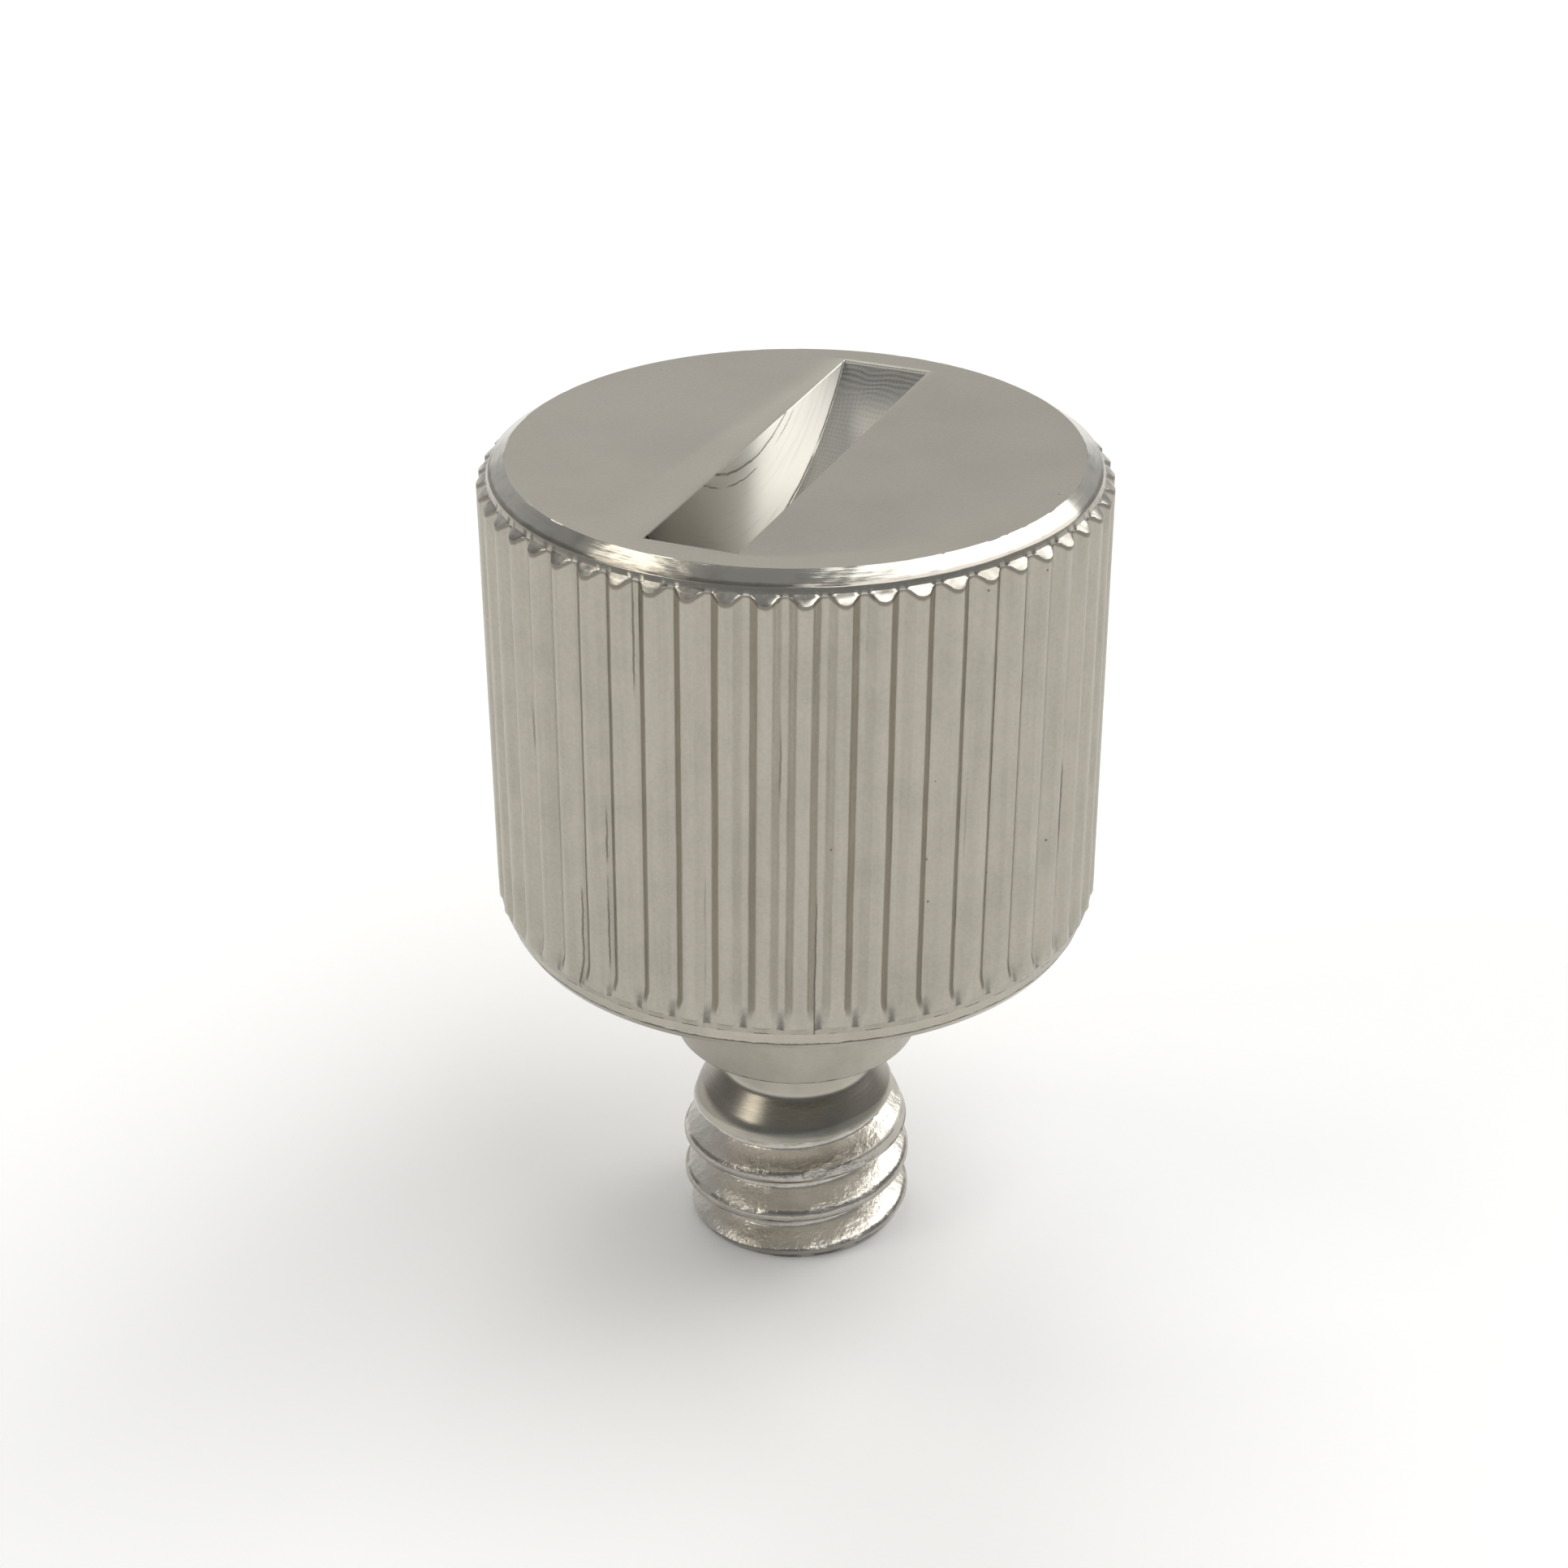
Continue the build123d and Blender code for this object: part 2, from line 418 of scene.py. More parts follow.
def milled(look, slot):
    """Saw marks are arcs about the disc cutter's axis, over a finely woven floor. The -Y end is painted
    darker, in place of a reflection that the stage doesn't give."""
    metal = Metal("milled_nickel", look, look.milled, look.sawn)
    tree = metal.tree
    axis_height = (TOP - slot.depth + slot.cutter) / MM
    over = combine(tree, 0.0, metal.y, metal.less(metal.z, axis_height))
    reach = node(tree, "ShaderNodeVectorMath", {0: over}, operation="LENGTH").outputs["Value"]
    floor = ramp(tree, reach, slot.cutter / MM - 0.03, slot.cutter / MM - 0.01)
    arcs = combine(tree, metal.times(reach, 7.0), metal.times(metal.x, 3.0), metal.times(metal.y, 0.25))
    sawn = grain(tree, arcs, 1.0, 4.0, 0.6)
    waves = []
    for way in (metal.x, metal.y):
        bent = maths(tree, "MULTIPLY_ADD", grain(tree, metal.place, 1.5, 1.0), 14.0, metal.times(way, 62.0))
        waves.append(maths(tree, "SINE", bent))
    weave = maths(tree, "MULTIPLY_ADD", maths(tree, "ADD", *waves), 0.25, 0.5)
    marks = node(tree, "ShaderNodeMix", {0: floor, 2: sawn, 3: metal.times(weave, 0.12)},
                 data_type="FLOAT").outputs[0]
    metal.colour = blend(tree, floor, metal.colour, paint([0.40 * c for c in look.milled]))
    metal.darkened(metal.times(floor, ramp(tree, weave, 0.15, 0.6, 0.16, 0.0)))
    metal.darkened(ramp(tree, metal.y, -7.3, -4.4, 0.55, 0.0))
    metal.darkened(ramp(tree, sawn, 0.30, 0.45, 0.12, 0.0))
    wall = metal.less(1.0, floor)
    metal.hairline(metal.less(reach, slot.cutter / MM - 0.10), 0.07, 0.03, 1.6, 0.30, 0.45, 0.85, 2.0, wall)
    metal.hairline(metal.less(reach, 5.46), 0.045, 0.03, 1.6, 0.25, 0.45, 0.65, 3.0, wall)
    metal.hairline(metal.less(reach, 5.78), 0.03, 0.03, 1.6, 0.40, 0.55, 0.6, 4.0, wall)
    metal.bump(marks, 0.004)
    radial = combine(tree, 0.6, metal.y, metal.less(metal.z, axis_height))
    metal.shader.inputs["Anisotropic"].default_value = 1.0
    tree.links.new(radial, metal.shader.inputs["Tangent"])
    return metal.finish(ramp(tree, floor, 0.0, 1.0, look.sawn, 0.34))


def threaded(look, thread):
    """The cut thread, painted lighter than the head's nickel as painted light on its flanks: drag marks along
    the helix, dark broken lines along the crest's edges.
    """
    metal = Metal("thread_nickel", look, look.lightened_thread_nickel, look.cut)
    tree = metal.tree
    rise = metal.thread_rise(thread)
    drag = combine(tree, metal.times(metal.radius, 9.0), metal.times(rise, 9.0), metal.times(metal.x, 0.5))
    marks = grain(tree, drag, 1.0, 3.0, 0.6)
    dents = grain(tree, metal.place, 2.2, 3.0, 0.65)
    metal.film(1.3, 0.42, 0.75, 0.14)
    # the crests' middle is painted darker, taking back part of the thread's painted lightening
    flat = ramp(tree, maths(tree, "ABSOLUTE", rise), 0.09, 0.17, 0.25, 0.0)
    metal.darkened(flat)
    lip = thread.crest / MM / 2
    seam = metal.hairline(maths(tree, "ADD", rise, lip + 0.01), 0.06, 0.035, 2.8, 0.36, 0.50, 0.85)
    metal.hairline(metal.less(rise, lip + 0.02), 0.05, 0.012, 2.8, 0.34, 0.48, 0.6, 4.0)
    metal.bump(marks, 0.002)
    metal.bump(dents, 0.05)
    metal.bump(seam, -0.02)
    return metal.finish(maths(tree, "MULTIPLY_ADD", marks, 0.12, look.cut - 0.06))


def necked(look, thread):
    """The neck, the cone out of it and the taper, turned bright. Cone and taper are painted darker, in
    place of a reflection that the stage doesn't give."""
    metal = Metal("bright_turned_nickel", look, look.nickel, look.cut)
    tree = metal.tree
    cut = grain(tree, metal.rings(8.0, 0.15), 1.0, 4.0, 0.65)
    metal.film(1.2, 0.42, 0.8, 0.25)
    flare = (thread.shank - thread.neck_height - thread.flare_height) / MM
    taper = metal.times(ramp(tree, metal.thread_rise(thread), -0.16, -0.06),
                        ramp(tree, metal.z, flare - 0.44, flare - 0.24))
    cone = maths(tree, "MAXIMUM", ramp(tree, metal.z, flare, flare + 0.06), taper)
    cone = metal.times(cone, ramp(tree, metal.z, flare + 0.55, flare + 0.66, 0.45, 0.0))
    metal.darkened(cone)
    metal.bump(cut, 0.003)
    return metal.finish(maths(tree, "MULTIPLY_ADD", cut, 0.10, look.cut - 0.08))


# ---------------------------------------------------------------- mesh helpers

def section(bm, points):
    """An open chain of edges in the XZ plane's -Y half, from (radius, height) points."""
    verts = [bm.verts.new((0.0, -radius, height)) for radius, height in points]
    edges = [bm.edges.new(pair) for pair in zip(verts, verts[1:])]
    return verts + edges


def spun(bm, points, steps):
    """Turns a section once round Z and closes the seam."""
    bmesh.ops.spin(bm, geom=section(bm, points), cent=(0, 0, 0), axis=(0, 0, 1), dvec=(0, 0, 0),
                   angle=2 * pi, steps=steps, use_merge=True, use_duplicate=False)
    bmesh.ops.remove_doubles(bm, verts=bm.verts, dist=1e-7)


def close_ends(bm):
    bmesh.ops.holes_fill(bm, edges=[e for e in bm.edges if e.is_boundary], sides=0)
    bmesh.ops.recalc_face_normals(bm, faces=bm.faces)


def shade(bm):
    """Smooth faces, with edges kept sharp where they turn by more than CREASE degrees."""
    for face in bm.faces:
        face.smooth = True
    for edge in bm.edges:
        edge.smooth = edge.is_manifold and degrees(edge.calc_face_angle(pi)) < CREASE


def mesh_object(name, bm, materials):
    mesh = bpy.data.meshes.new(name)
    bm.to_mesh(mesh)
    bm.free()
    for material in materials:
        mesh.materials.append(material)
    piece = bpy.data.objects.new(name, mesh)
    bpy.context.scene.collection.objects.link(piece)
    return piece


def carved(piece, other, operation):
    """Gives the piece the mesh of an exact Boolean with the other object, which is then removed."""
    cut = piece.modifiers.new("cut", "BOOLEAN")
    cut.operation, cut.object, cut.solver = operation, other, "EXACT"
    graph = bpy.context.evaluated_depsgraph_get()
    result = bpy.data.meshes.new_from_object(piece.evaluated_get(graph))
    piece.modifiers.clear()
    spent = (piece.data, other.data)
    piece.data = result
    bpy.data.objects.remove(other)
    for mesh in spent:
        bpy.data.meshes.remove(mesh)
    result.name = piece.name


def edit(piece):
    bm = bmesh.new()
    bm.from_mesh(piece.data)
    return bm


def claim(piece):
    """Parents a finished piece to the root body and hides the CAD node that it stands for."""
    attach(piece, "root")
    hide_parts(NODE)


def settle(piece, bm):
    """Writes an edited mesh back to its piece and claims the piece."""
    bm.to_mesh(piece.data)
    bm.free()
    claim(piece)


def uneven(x, y, z, scale):
    """Repeatable noise between about -1 and 1, one feature per 1/scale millimetres."""
    return noise.noise(Vector((x, y, z)) * (scale / MM))


# ---------------------------------------------------------------- the head

COLUMNS = 20                       # mesh columns in one knurl pitch
TOOTH_ROWS, LOWER_ROWS = 30, 7     # mesh rows along the teeth and along the grooves' lower ends
DISC_SIDES = 320


def tooth_section(head):
    """(place in the pitch, depth below the crest) of each mesh column, from one groove to the next."""
    floor_end, land_start = head.groove_floor / 2, (1 - head.land) / 2
    edge = 0.02
    drop, deep = head.crown, head.groove_depth
    half = [(0.0, deep), (floor_end * 0.6, deep), (floor_end - edge, deep * 0.985),
            (floor_end + edge, deep * 0.90), ((floor_end + land_start) / 2, (deep + drop) / 2),
            (land_start - edge, drop + 0.12 * deep), (land_start + 0.3 * edge, drop * 0.98)]
    rest = 0.5 - land_start
    half += [(land_start + rest * t, drop * (1 - t) ** 2) for t in (0.2, 0.45, 0.72)]
    right = [(1 - u, d) for u, d in half[:0:-1]]
    return half + [(0.5, 0.0)] + right


TOP_SKIN, BEVEL, SCALLOP, KNURL, TURNED, MILLED = range(6)      # the head's materials


def head_rows(head):
    """(kind, skin of the faces below, a, b) of each mesh row of the head, downwards; a and b are the
    radius and height of a ring, and a is the place along its stretch of a knurled row."""
    base = TOP - head.height
    knurl_top, knurl_low = TOP - head.collar_height, base + head.hem_height
    collar, hem, foot = head.collar_radius, head.hem_radius, base + head.foot_height
    rim, wide, tall = collar - head.bevel_width, head.bevel_width, head.bevel_height
    rows = [("ring", TOP_SKIN, rim - 0.6 * MM, TOP), ("ring", TOP_SKIN, rim - 0.05 * MM, TOP),
            ("nicked", BEVEL, rim, TOP)]
    rows += [("rough ring", BEVEL, rim + wide * t, TOP - tall * t) for t in (0.06, 0.25, 0.5, 0.75, 0.93)]
    rows += [("ring", TURNED, collar - 0.012 * MM, TOP - tall + 0.004 * MM),
             ("ring", TURNED, collar, TOP - tall - 0.015 * MM),
             ("ring", SCALLOP, collar + 0.045 * MM, knurl_top + 0.01 * MM)]
    rows += [("upper", SCALLOP, a, 0.0) for a in (0.0, 0.15, 0.5, 0.85)] + [("upper", KNURL, 1.0, 0.0)]
    rows += [("tooth", KNURL, (1 - cos(pi * k / TOOTH_ROWS)) / 2 * 0.5 + k / TOOTH_ROWS * 0.5, 0.0)
             for k in range(1, TOOTH_ROWS)]
    rows += [("lower", KNURL, k / LOWER_ROWS, 0.0) for k in range(LOWER_ROWS, -1, -1)]
    rows += [("closed", KNURL, a, 0.0) for a in (0.0, 1.0)]
    rows += [("ring", TURNED, hem + 0.02 * MM, knurl_low), ("ring", TURNED, hem, knurl_low - 0.02 * MM),
             ("ring", TURNED, hem, foot + 0.03 * MM), ("burr", TURNED, hem, foot),
             ("ring", TURNED, hem - 0.02 * MM, foot - 0.03 * MM),
             ("ring", TURNED, hem - head.foot_width, base), ("ring", TURNED, hem * 0.75, base)]
    return rows


def knurl_point(head, crest, kind, a, tooth, u, depth):
    """(radius, angle, height) of one point of a knurled row; a runs along the row's own stretch."""
    knurl_top, knurl_low = TOP - head.collar_height, TOP - head.height + head.hem_height
    turn = 2 * pi / head.teeth
    about = (tooth + u) * turn
    x, y = sin(about), -cos(about)
    radius = crest - depth
    reach = uneven(x * crest, y * crest, 0.0, 1.3)
    lip = min(radius, crest - BEAD)
    cut = max(0.008 * MM, head.upper_chamfer * (1 + 0.16 * reach) * (radius - lip) / BEAD)
    start = knurl_top - 0.035 * MM
    tips = knurl_low + head.plain_end * (1 + 0.25 * uneven(sin(tooth * 9.0), tooth * 0.2, 0.0, 1.7 * MM))
    end = tips + head.lower_end
    if kind == "upper":            # the beads
        height = start - cut * a
        radius = lip + (radius - lip) * (a ** 0.8)
    elif kind == "lower":          # the grooves narrow and fade
        height = tips + head.lower_end * a
        radius += (depth - min(depth, 0.05 * MM)) * 0.85 * (1 - a) ** 1.5
        gap, mouth = (1 - head.land) / 2, (1 - head.land) / 2 * (0.58 + 0.42 * a)
        side = min(u, 1 - u)
        side = side * mouth / gap if side < gap else 0.5 - (0.5 - side) * (0.5 - mouth) / (0.5 - gap)
        about = (tooth + (side if u < 0.5 else 1 - side)) * turn
    elif kind == "closed":         # plain from there to the hem
        height = tips - 0.05 * MM + (knurl_low + 0.07 * MM - tips) * a
        radius = crest - (0.05 + 0.05 * a) * MM
    else:                          # the rolled teeth, slightly wavy
        height = start - cut + (end - start + cut) * a
        wave = uneven(x * crest, y * crest, height, 0.7)
        edge = 1 - abs(2 * u - 1)
        about += 0.010 * turn * wave * (1 if 0.1 < u < 0.9 else 0.4)
        dip = max(0.0, uneven(y * crest, x * crest, height * 0.5, 1.0))
        radius -= 0.012 * MM * dip * (1 - 0.5 * edge)
    about += head.lean * ((height - knurl_low) / (knurl_top - knurl_low) - 0.5)
    return radius, about, height


def ring_point(head, crest, kind, radius, height, about):
    """(radius, angle, height) of one point of a turned ring, with its nicks, lumps or burr."""
    x, y = sin(about), -cos(about)
    upper = height > TOP - head.collar_height - MM
    if kind == "nicked":
        radius -= 0.03 * MM * max(0.0, uneven(x * crest, y * crest, 0.0, 2.3) - 0.1)
    elif kind == "rough ring":
        lump = uneven(x * crest, y * crest, height, 1.1)
        radius += 0.004 * MM * lump
        height += 0.004 * MM * lump
    elif kind == "burr":
        height += 0.02 * MM * uneven(x * crest, y * crest, 0.0, 1.6)
    return radius, about + head.lean * (0.5 if upper else -0.5), height


class ADD_OT_screw_head(bpy.types.Operator):
    """Turn the head, roll its knurl and saw its slot"""
    bl_idname = "thumb_screw.head"
    bl_label = "Knurled Head"

    def execute(self, context):
        scene = context.scene
        head, slot, look = scene.screw_head, scene.screw_slot, scene.screw_finish
        base, crest = TOP - head.height, HEAD_RADIUS - SHY
        rows = head_rows(head)
        bm = bmesh.new()
        row_of = bm.verts.layers.int.new("row")
        chain = section(bm, [(7 * MM, TOP - i * 0.1 * MM) for i in range(len(rows))])
        bm.verts.ensure_lookup_table()
        for i in range(len(rows)):
            bm.verts[i][row_of] = i
        steps = COLUMNS * head.teeth
        bmesh.ops.spin(bm, geom=chain, cent=(0, 0, 0), axis=(0, 0, 1), dvec=(0, 0, 0), angle=2 * pi,
                       steps=steps, use_merge=True, use_duplicate=False)
        teeth = tooth_section(head)
        turn = 2 * pi / head.teeth
        for vert in bm.verts:
            kind, _, a, b = rows[vert[row_of]]
            column = round(atan2(vert.co.x, -vert.co.y) / (2 * pi) * steps) % steps
            tooth, place = divmod(column, COLUMNS)
            u, depth = teeth[place]
            if kind in ("upper", "tooth", "lower", "closed"):
                radius, about, height = knurl_point(head, crest, kind, a, tooth, u, depth)
            else:
                radius, about, height = ring_point(head, crest, kind, a, b, (tooth + u) * turn)
            vert.co = (radius * sin(about), -radius * cos(about), height)
        for face in bm.faces:
            face.material_index = rows[min(v[row_of] for v in face.verts)][1]
        close_ends(bm)
        for face in bm.faces:
            if len(face.verts) > 8:
                face.material_index = TOP_SKIN if face.calc_center_median().z > base + 1 * MM else TURNED
        edges = ((base + head.foot_height, 0.035, 0.30), (TOP - head.collar_height, 0.03, 0.5))
        piece = mesh_object("screw_head", bm, [satin_face(look), bright_bevel(look, head), scalloped(look),
                                               knurled(look, head), turned(look, edges), milled(look, slot)])
        disc = bmesh.new()
        bmesh.ops.create_cone(disc, cap_ends=True, segments=DISC_SIDES, radius1=slot.cutter, radius2=slot.cutter,
                              depth=slot.width,
                              matrix=Matrix.Translation((0, 0, TOP - slot.depth + slot.cutter))
                              @ Matrix.Rotation(pi / 2, 4, "Y"))
        for face in disc.faces:
            face.material_index = MILLED
        carved(piece, mesh_object("cutter", disc, piece.data.materials), "DIFFERENCE")
        bm = edit(piece)
        lips = [e for e in bm.edges if all(abs(v.co.z - TOP) < 1e-6 for v in e.verts)
                and {MILLED} < {f.material_index for f in e.link_faces}]
        bmesh.ops.bevel(bm, geom=lips, offset=slot.edge, offset_type="OFFSET", segments=2, profile=0.5,
                        affect="EDGES", material=-1, clamp_overlap=True)
        shade(bm)
        settle(piece, bm)
        return {"FINISHED"}


# ---------------------------------------------------------------- boss and thread

BOSS_SIDES, SHANK_SIDES = 192, 176
THREAD_SIDES, THREAD_TURNS = 160, 8     # the turns are more than the shank holds

class ADD_OT_screw_boss(bpy.types.Operator):
    """Turn the plain boss under the head"""
    bl_idname = "thumb_screw.boss"
    bl_label = "Boss"

    def execute(self, context):
        scene = context.scene
        boss, thread = scene.screw_boss, scene.screw_thread
        low, r, e = thread.shank, boss.radius, boss.edge
        high = low + boss.height
        bm = bmesh.new()
        spun(bm, [(thread.neck_radius * 0.5, low), (r - e, low), (r - 0.3 * e, low + 0.3 * e), (r, low + e),
                  (r, low + boss.height * 0.5), (r, high - 0.15 * MM), (r + 0.05 * MM, high - 0.04 * MM),
                  (r + 0.15 * MM, high)], BOSS_SIDES)
        close_ends(bm)
        shade(bm)
        finish = turned(scene.screw_finish, ((low + 0.01 * MM, 0.035, 0.30),))
        claim(mesh_object("screw_boss", bm, [finish]))
        return {"FINISHED"}


def thread_profile(thread):
    """(radius, height from the crest's middle) of one thread, from the root below to the root above."""
    depth = sqrt(3) / 2 * (thread.pitch - thread.crest - thread.root)
    crest, root = thread.radius, thread.radius - depth
    flat, foot = thread.crest / 2, thread.pitch / 2
    half = [(crest, 0.0), (crest - 0.004 * MM, flat * 0.35), (crest - 0.018 * MM, flat * 0.65),
            (crest - 0.045 * MM, flat * 0.92), (crest - 0.085 * MM, flat + 0.038 * MM)]
    half += [(crest - depth * t, flat + depth * t / sqrt(3)) for t in (0.2, 0.4, 0.6, 0.8, 0.92)]
    half += [(root + 0.012 * MM, flat + depth / sqrt(3) + 0.012 * MM),
             (root, flat + depth / sqrt(3) + 0.05 * MM)]
    lower = [(radius, -rise) for radius, rise in half[:0:-1]]
    return [(root, -foot)] + lower + half + [(root, foot)]


class ADD_OT_screw_thread(bpy.types.Operator):
    """Cut the thread, its taper, cone, neck and tip chamfer"""
    bl_idname = "thumb_screw.thread"
    bl_label = "Thread"

    def execute(self, context):
        scene = context.scene
        thread, look = scene.screw_thread, scene.screw_finish
        pitch, crest = thread.pitch, thread.radius
        start = thread.start - pitch / 4 - 2 * pitch     # the section stands at -Y, a quarter turn before +X
        bm = bmesh.new()
        profile = section(bm, [(radius, start + rise) for radius, rise in thread_profile(thread)])
        bmesh.ops.spin(bm, geom=profile, cent=(0, 0, 0), axis=(0, 0, 1), dvec=(0, 0, pitch / THREAD_SIDES),
                       angle=2 * pi * THREAD_TURNS, steps=THREAD_SIDES * THREAD_TURNS,
                       use_merge=False, use_duplicate=False)
        bmesh.ops.remove_doubles(bm, verts=bm.verts, dist=2e-6)
        for level, way in ((-0.2 * MM, -1), (thread.shank + 0.2 * MM, 1)):
            bmesh.ops.bisect_plane(bm, geom=bm.verts[:] + bm.edges[:] + bm.faces[:], dist=1e-7,
                                   plane_co=(0, 0, level), plane_no=(0, 0, way), clear_outer=True)
        close_ends(bm)
        for vert in bm.verts:
            worn = 1 - 0.006 * max(0.0, uneven(*vert.co, 1.1)) * (vert.co.xy.length > crest - 0.2 * MM)
            vert.co.x, vert.co.y = vert.co.x * worn, vert.co.y * worn
        piece = mesh_object("screw_thread", bm, [threaded(look, thread), necked(look, thread)])
        neck, flare = thread.neck_radius, thread.flare_radius
        neck_low = thread.shank - thread.neck_height
        flare_low = neck_low - thread.flare_height
        full = flare_low - thread.runout
        out = crest + 0.1 * MM
        slope = thread.runout / (crest - flare)
        tip = thread.tip_height / thread.tip_width
        cone = Vector((flare - neck, -thread.flare_height)).normalized() * MM
        limits = bmesh.new()
        spun(limits, [(0.5 * MM, 0), (crest - thread.tip_width - 0.06 * MM, 0),
                      (crest - thread.tip_width - 0.015 * MM, 0.02 * MM),
                      (crest - thread.tip_width + 0.02 * MM, 0.075 * MM),
                      (out, thread.tip_height + 0.1 * MM * tip), (out, full - 0.1 * MM * slope),
                      (flare + 0.175 * MM, flare_low - 0.46 * MM), (flare + 0.14 * MM, flare_low - 0.34 * MM),
                      (flare + 0.10 * MM, flare_low - 0.22 * MM), (flare + 0.05 * MM, flare_low - 0.10 * MM),
                      (flare - 0.01 * MM, flare_low - 0.01 * MM),
                      (flare - 0.08 * cone.x, flare_low - 0.08 * cone.y),
                      (neck + 0.16 * cone.x, neck_low + 0.16 * cone.y),
                      (neck + 0.07 * cone.x, neck_low + 0.05 * cone.y),
                      (neck + 0.02 * MM, neck_low + 0.04 * MM), (neck, neck_low + 0.14 * MM),
                      (neck, thread.shank), (0.5 * MM, thread.shank)], SHANK_SIDES)
        close_ends(limits)
        for face in limits.faces:
            face.material_index = 1 if face.calc_center_median().z > flare_low - BRIGHT_TAPER else 0
        carved(piece, mesh_object("limits", limits, piece.data.materials), "INTERSECT")
        bm = edit(piece)
        shade(bm)
        settle(piece, bm)
        return {"FINISHED"}


# ---------------------------------------------------------------- stage

FRONT = radians(22.5)              # the camera stands this far round from -Y towards +X
CAMERA_SPOT = (0.024837, -0.060765, 0.048554)
CAMERA_PITCH, CAMERA_ROLL = radians(61.546), radians(-0.189)
LENS, SENSOR = 66.67, 36.0         # in millimetres
LAMP_DISTANCE, FLOOR_REACH = 1.3, 1.5


def seen(right, away, up):
    """A direction given as the camera's right, the way it looks and up, in the frame's axes."""
    return Vector((right * cos(FRONT) - away * sin(FRONT), right * sin(FRONT) + away * cos(FRONT), up))


def softbox(name, direction, along, size, energy, colour):
    """An area lamp in one direction, facing the screw, its longer side lying along another."""
    light = bpy.data.lights.new(name, "AREA")
    light.shape, light.size, light.size_y = "RECTANGLE", *size
    light.energy, light.color = energy, colour
    body = bpy.data.objects.new(name, light)
    bpy.context.scene.collection.objects.link(body)
    away = direction.normalized()
    side = away.cross(along).normalized()
    body.location = away * LAMP_DISTANCE
    body.rotation_euler = Matrix((side.cross(away), side, away)).transposed().to_euler()


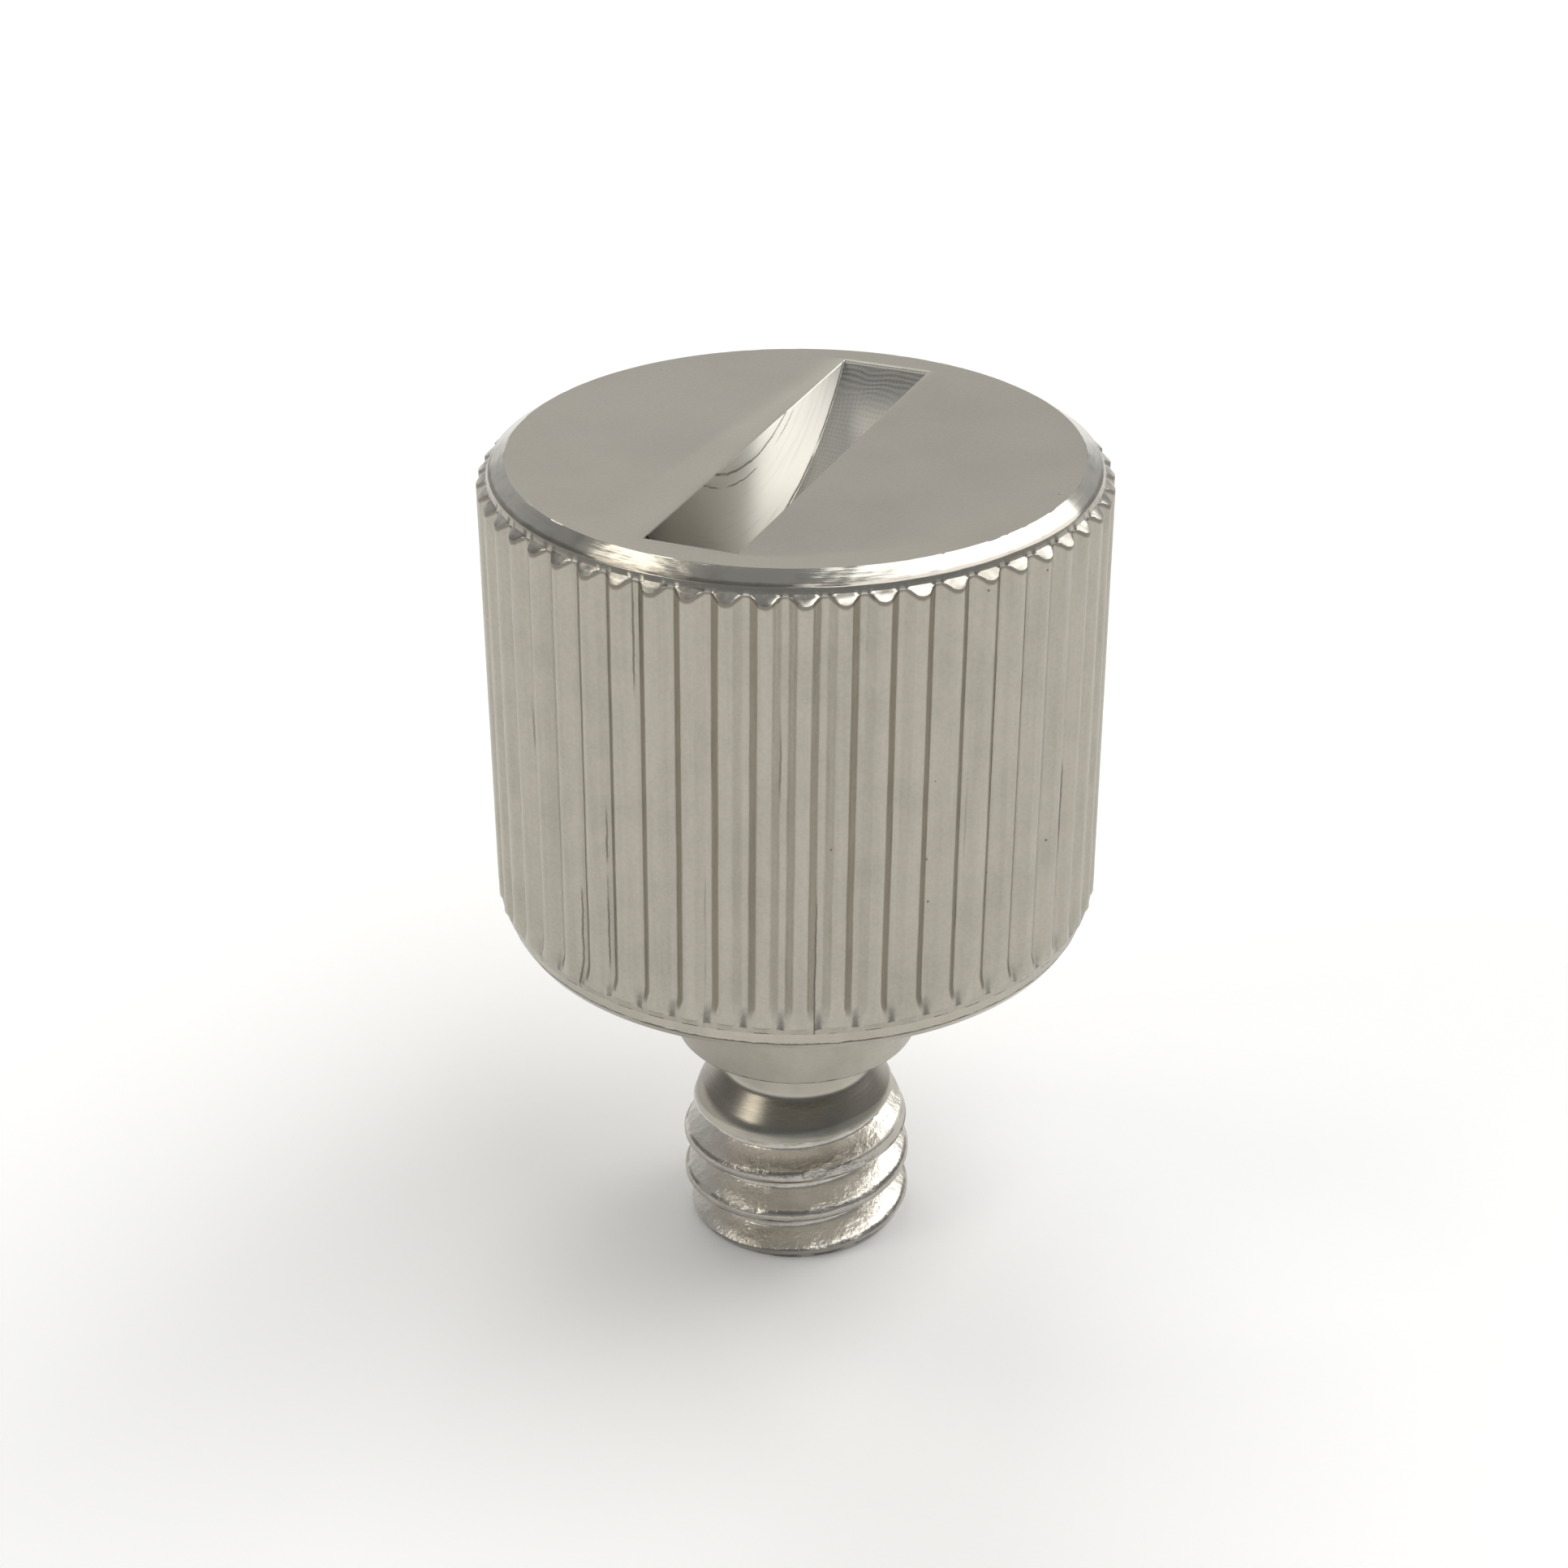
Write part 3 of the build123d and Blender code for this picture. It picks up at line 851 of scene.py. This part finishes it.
class ADD_OT_screw_stage(bpy.types.Operator):
    """Add the floor, the lights, the room and the camera"""
    bl_idname = "thumb_screw.stage"
    bl_label = "Studio Stage"

    def execute(self, context):
        scene, stage = context.scene, context.scene.screw_stage
        bm = bmesh.new()
        bmesh.ops.create_grid(bm, x_segments=2, y_segments=2, size=FLOOR_REACH)
        paper = bpy.data.materials.new("floor_paper")
        paper.use_nodes = True
        tree = paper.node_tree
        shader = tree.nodes["Principled BSDF"]
        shader.inputs["Roughness"].default_value = 0.9
        shader.inputs["Specular IOR Level"].default_value = 0.0
        ray = node(tree, "ShaderNodeLightPath").outputs
        through = maths(tree, "MAXIMUM", ray["Is Glossy Ray"], ray["Is Transmission Ray"])
        shown = maths(tree, "MAXIMUM", ray["Is Camera Ray"], through)
        tree.links.new(blend(tree, shown, paint(stage.floor), WHITE), shader.inputs["Base Color"])
        across = node(tree, "ShaderNodeVectorMath", {0: node(tree, "ShaderNodeTexCoord").outputs["Object"]},
                      operation="LENGTH").outputs["Value"]
        far = maths(tree, "MULTIPLY", ramp(tree, across, 0.12, 0.5), ray["Is Camera Ray"])
        tree.links.new(far, shader.inputs["Emission Strength"])
        mesh_object("floor", bm, [paper])

        softbox("window", seen(0.53, 0.06, 0.85), seen(0.46, 1.14, -0.58), (2.34, 0.72), stage.window,
                (1.0, 0.99, 0.97))
        softbox("lamp", seen(-0.70, -0.31, 0.64), seen(0, 1, 0), (0.46, 0.32), stage.lamp, (1.0, 0.95, 0.85))
        softbox("glow", seen(-0.51, 0.12, 0.85), seen(0, 1, 0), (0.34, 0.34), stage.glow, (1.0, 0.94, 0.82))
        softbox("back_lamp", seen(-0.14, 0.57, 0.81), seen(1, 0, 0), (0.78, 0.70), stage.back,
                (1.0, 1.0, 0.98))

        world = bpy.data.worlds.new("room")
        scene.world = world
        world.use_nodes = True
        tree = world.node_tree
        tree.nodes.clear()
        way = node(tree, "ShaderNodeTexCoord").outputs["Generated"]
        up = node(tree, "ShaderNodeSeparateXYZ", {0: way}).outputs[2]
        away = node(tree, "ShaderNodeVectorMath", {0: way, 1: seen(0, 1, 0)},
                    operation="DOT_PRODUCT").outputs["Value"]
        dark = paint([stage.shade * c for c in (0.96, 1.0, 1.06)])
        room = blend(tree, ramp(tree, away, -0.15, -0.5), paint([stage.room] * 3), dark)
        room = blend(tree, ramp(tree, away, 0.45, 0.8), room, paint([stage.wall] * 3))
        room = blend(tree, ramp(tree, up, 0.04, 0.12), (0.92, 0.92, 0.92, 1.0), room)
        ray = node(tree, "ShaderNodeLightPath").outputs
        room = blend(tree, ray["Is Camera Ray"], room, WHITE)
        backdrop = node(tree, "ShaderNodeBackground", {"Color": room, "Strength": 1.0})
        output = node(tree, "ShaderNodeOutputWorld")
        tree.links.new(backdrop.outputs[0], output.inputs[0])

        camera = bpy.data.cameras.new("camera")
        camera.lens, camera.sensor_width = LENS, SENSOR
        camera.clip_start, camera.clip_end = 0.001, 10.0
        view = bpy.data.objects.new("camera", camera)
        scene.collection.objects.link(view)
        view.location = CAMERA_SPOT
        view.rotation_euler = (Matrix.Rotation(FRONT, 3, "Z") @ Matrix.Rotation(CAMERA_PITCH, 3, "X")
                               @ Matrix.Rotation(CAMERA_ROLL, 3, "Z")).to_euler()
        scene.camera = view
        scene.view_settings.view_transform = "Standard"
        return {"FINISHED"}


class VIEW3D_PT_thumb_screw(bpy.types.Panel):
    """Sizes, finishes and build steps of the thumb screw"""
    bl_label = "Thumb Screw"
    bl_idname = "VIEW3D_PT_thumb_screw"
    bl_space_type = "VIEW_3D"
    bl_region_type = "UI"
    bl_category = "Thumb Screw"

    def draw(self, context):
        for kind in OPERATORS:
            self.layout.operator(kind.bl_idname)
        for name, group in SETTINGS:
            box = self.layout.box()
            settings = getattr(context.scene, name)
            for field in group.__annotations__:
                box.prop(settings, field)


SETTINGS = (("screw_finish", FinishSettings), ("screw_head", HeadSettings), ("screw_slot", SlotSettings),
            ("screw_boss", BossSettings), ("screw_thread", ThreadSettings), ("screw_stage", StageSettings))
OPERATORS = (ADD_OT_screw_head, ADD_OT_screw_boss, ADD_OT_screw_thread, ADD_OT_screw_stage)


def register():
    for name, group in SETTINGS:
        bpy.utils.register_class(group)
        setattr(bpy.types.Scene, name, bpy.props.PointerProperty(type=group))
    for kind in (*OPERATORS, VIEW3D_PT_thumb_screw):
        bpy.utils.register_class(kind)


def unregister():
    for kind in (VIEW3D_PT_thumb_screw, *reversed(OPERATORS)):
        bpy.utils.unregister_class(kind)
    for name, group in reversed(SETTINGS):
        delattr(bpy.types.Scene, name)
        bpy.utils.unregister_class(group)


def main():
    register()
    bpy.ops.thumb_screw.head()
    bpy.ops.thumb_screw.boss()
    bpy.ops.thumb_screw.thread()
    bpy.ops.thumb_screw.stage()


if __name__ == "__main__":
    main()
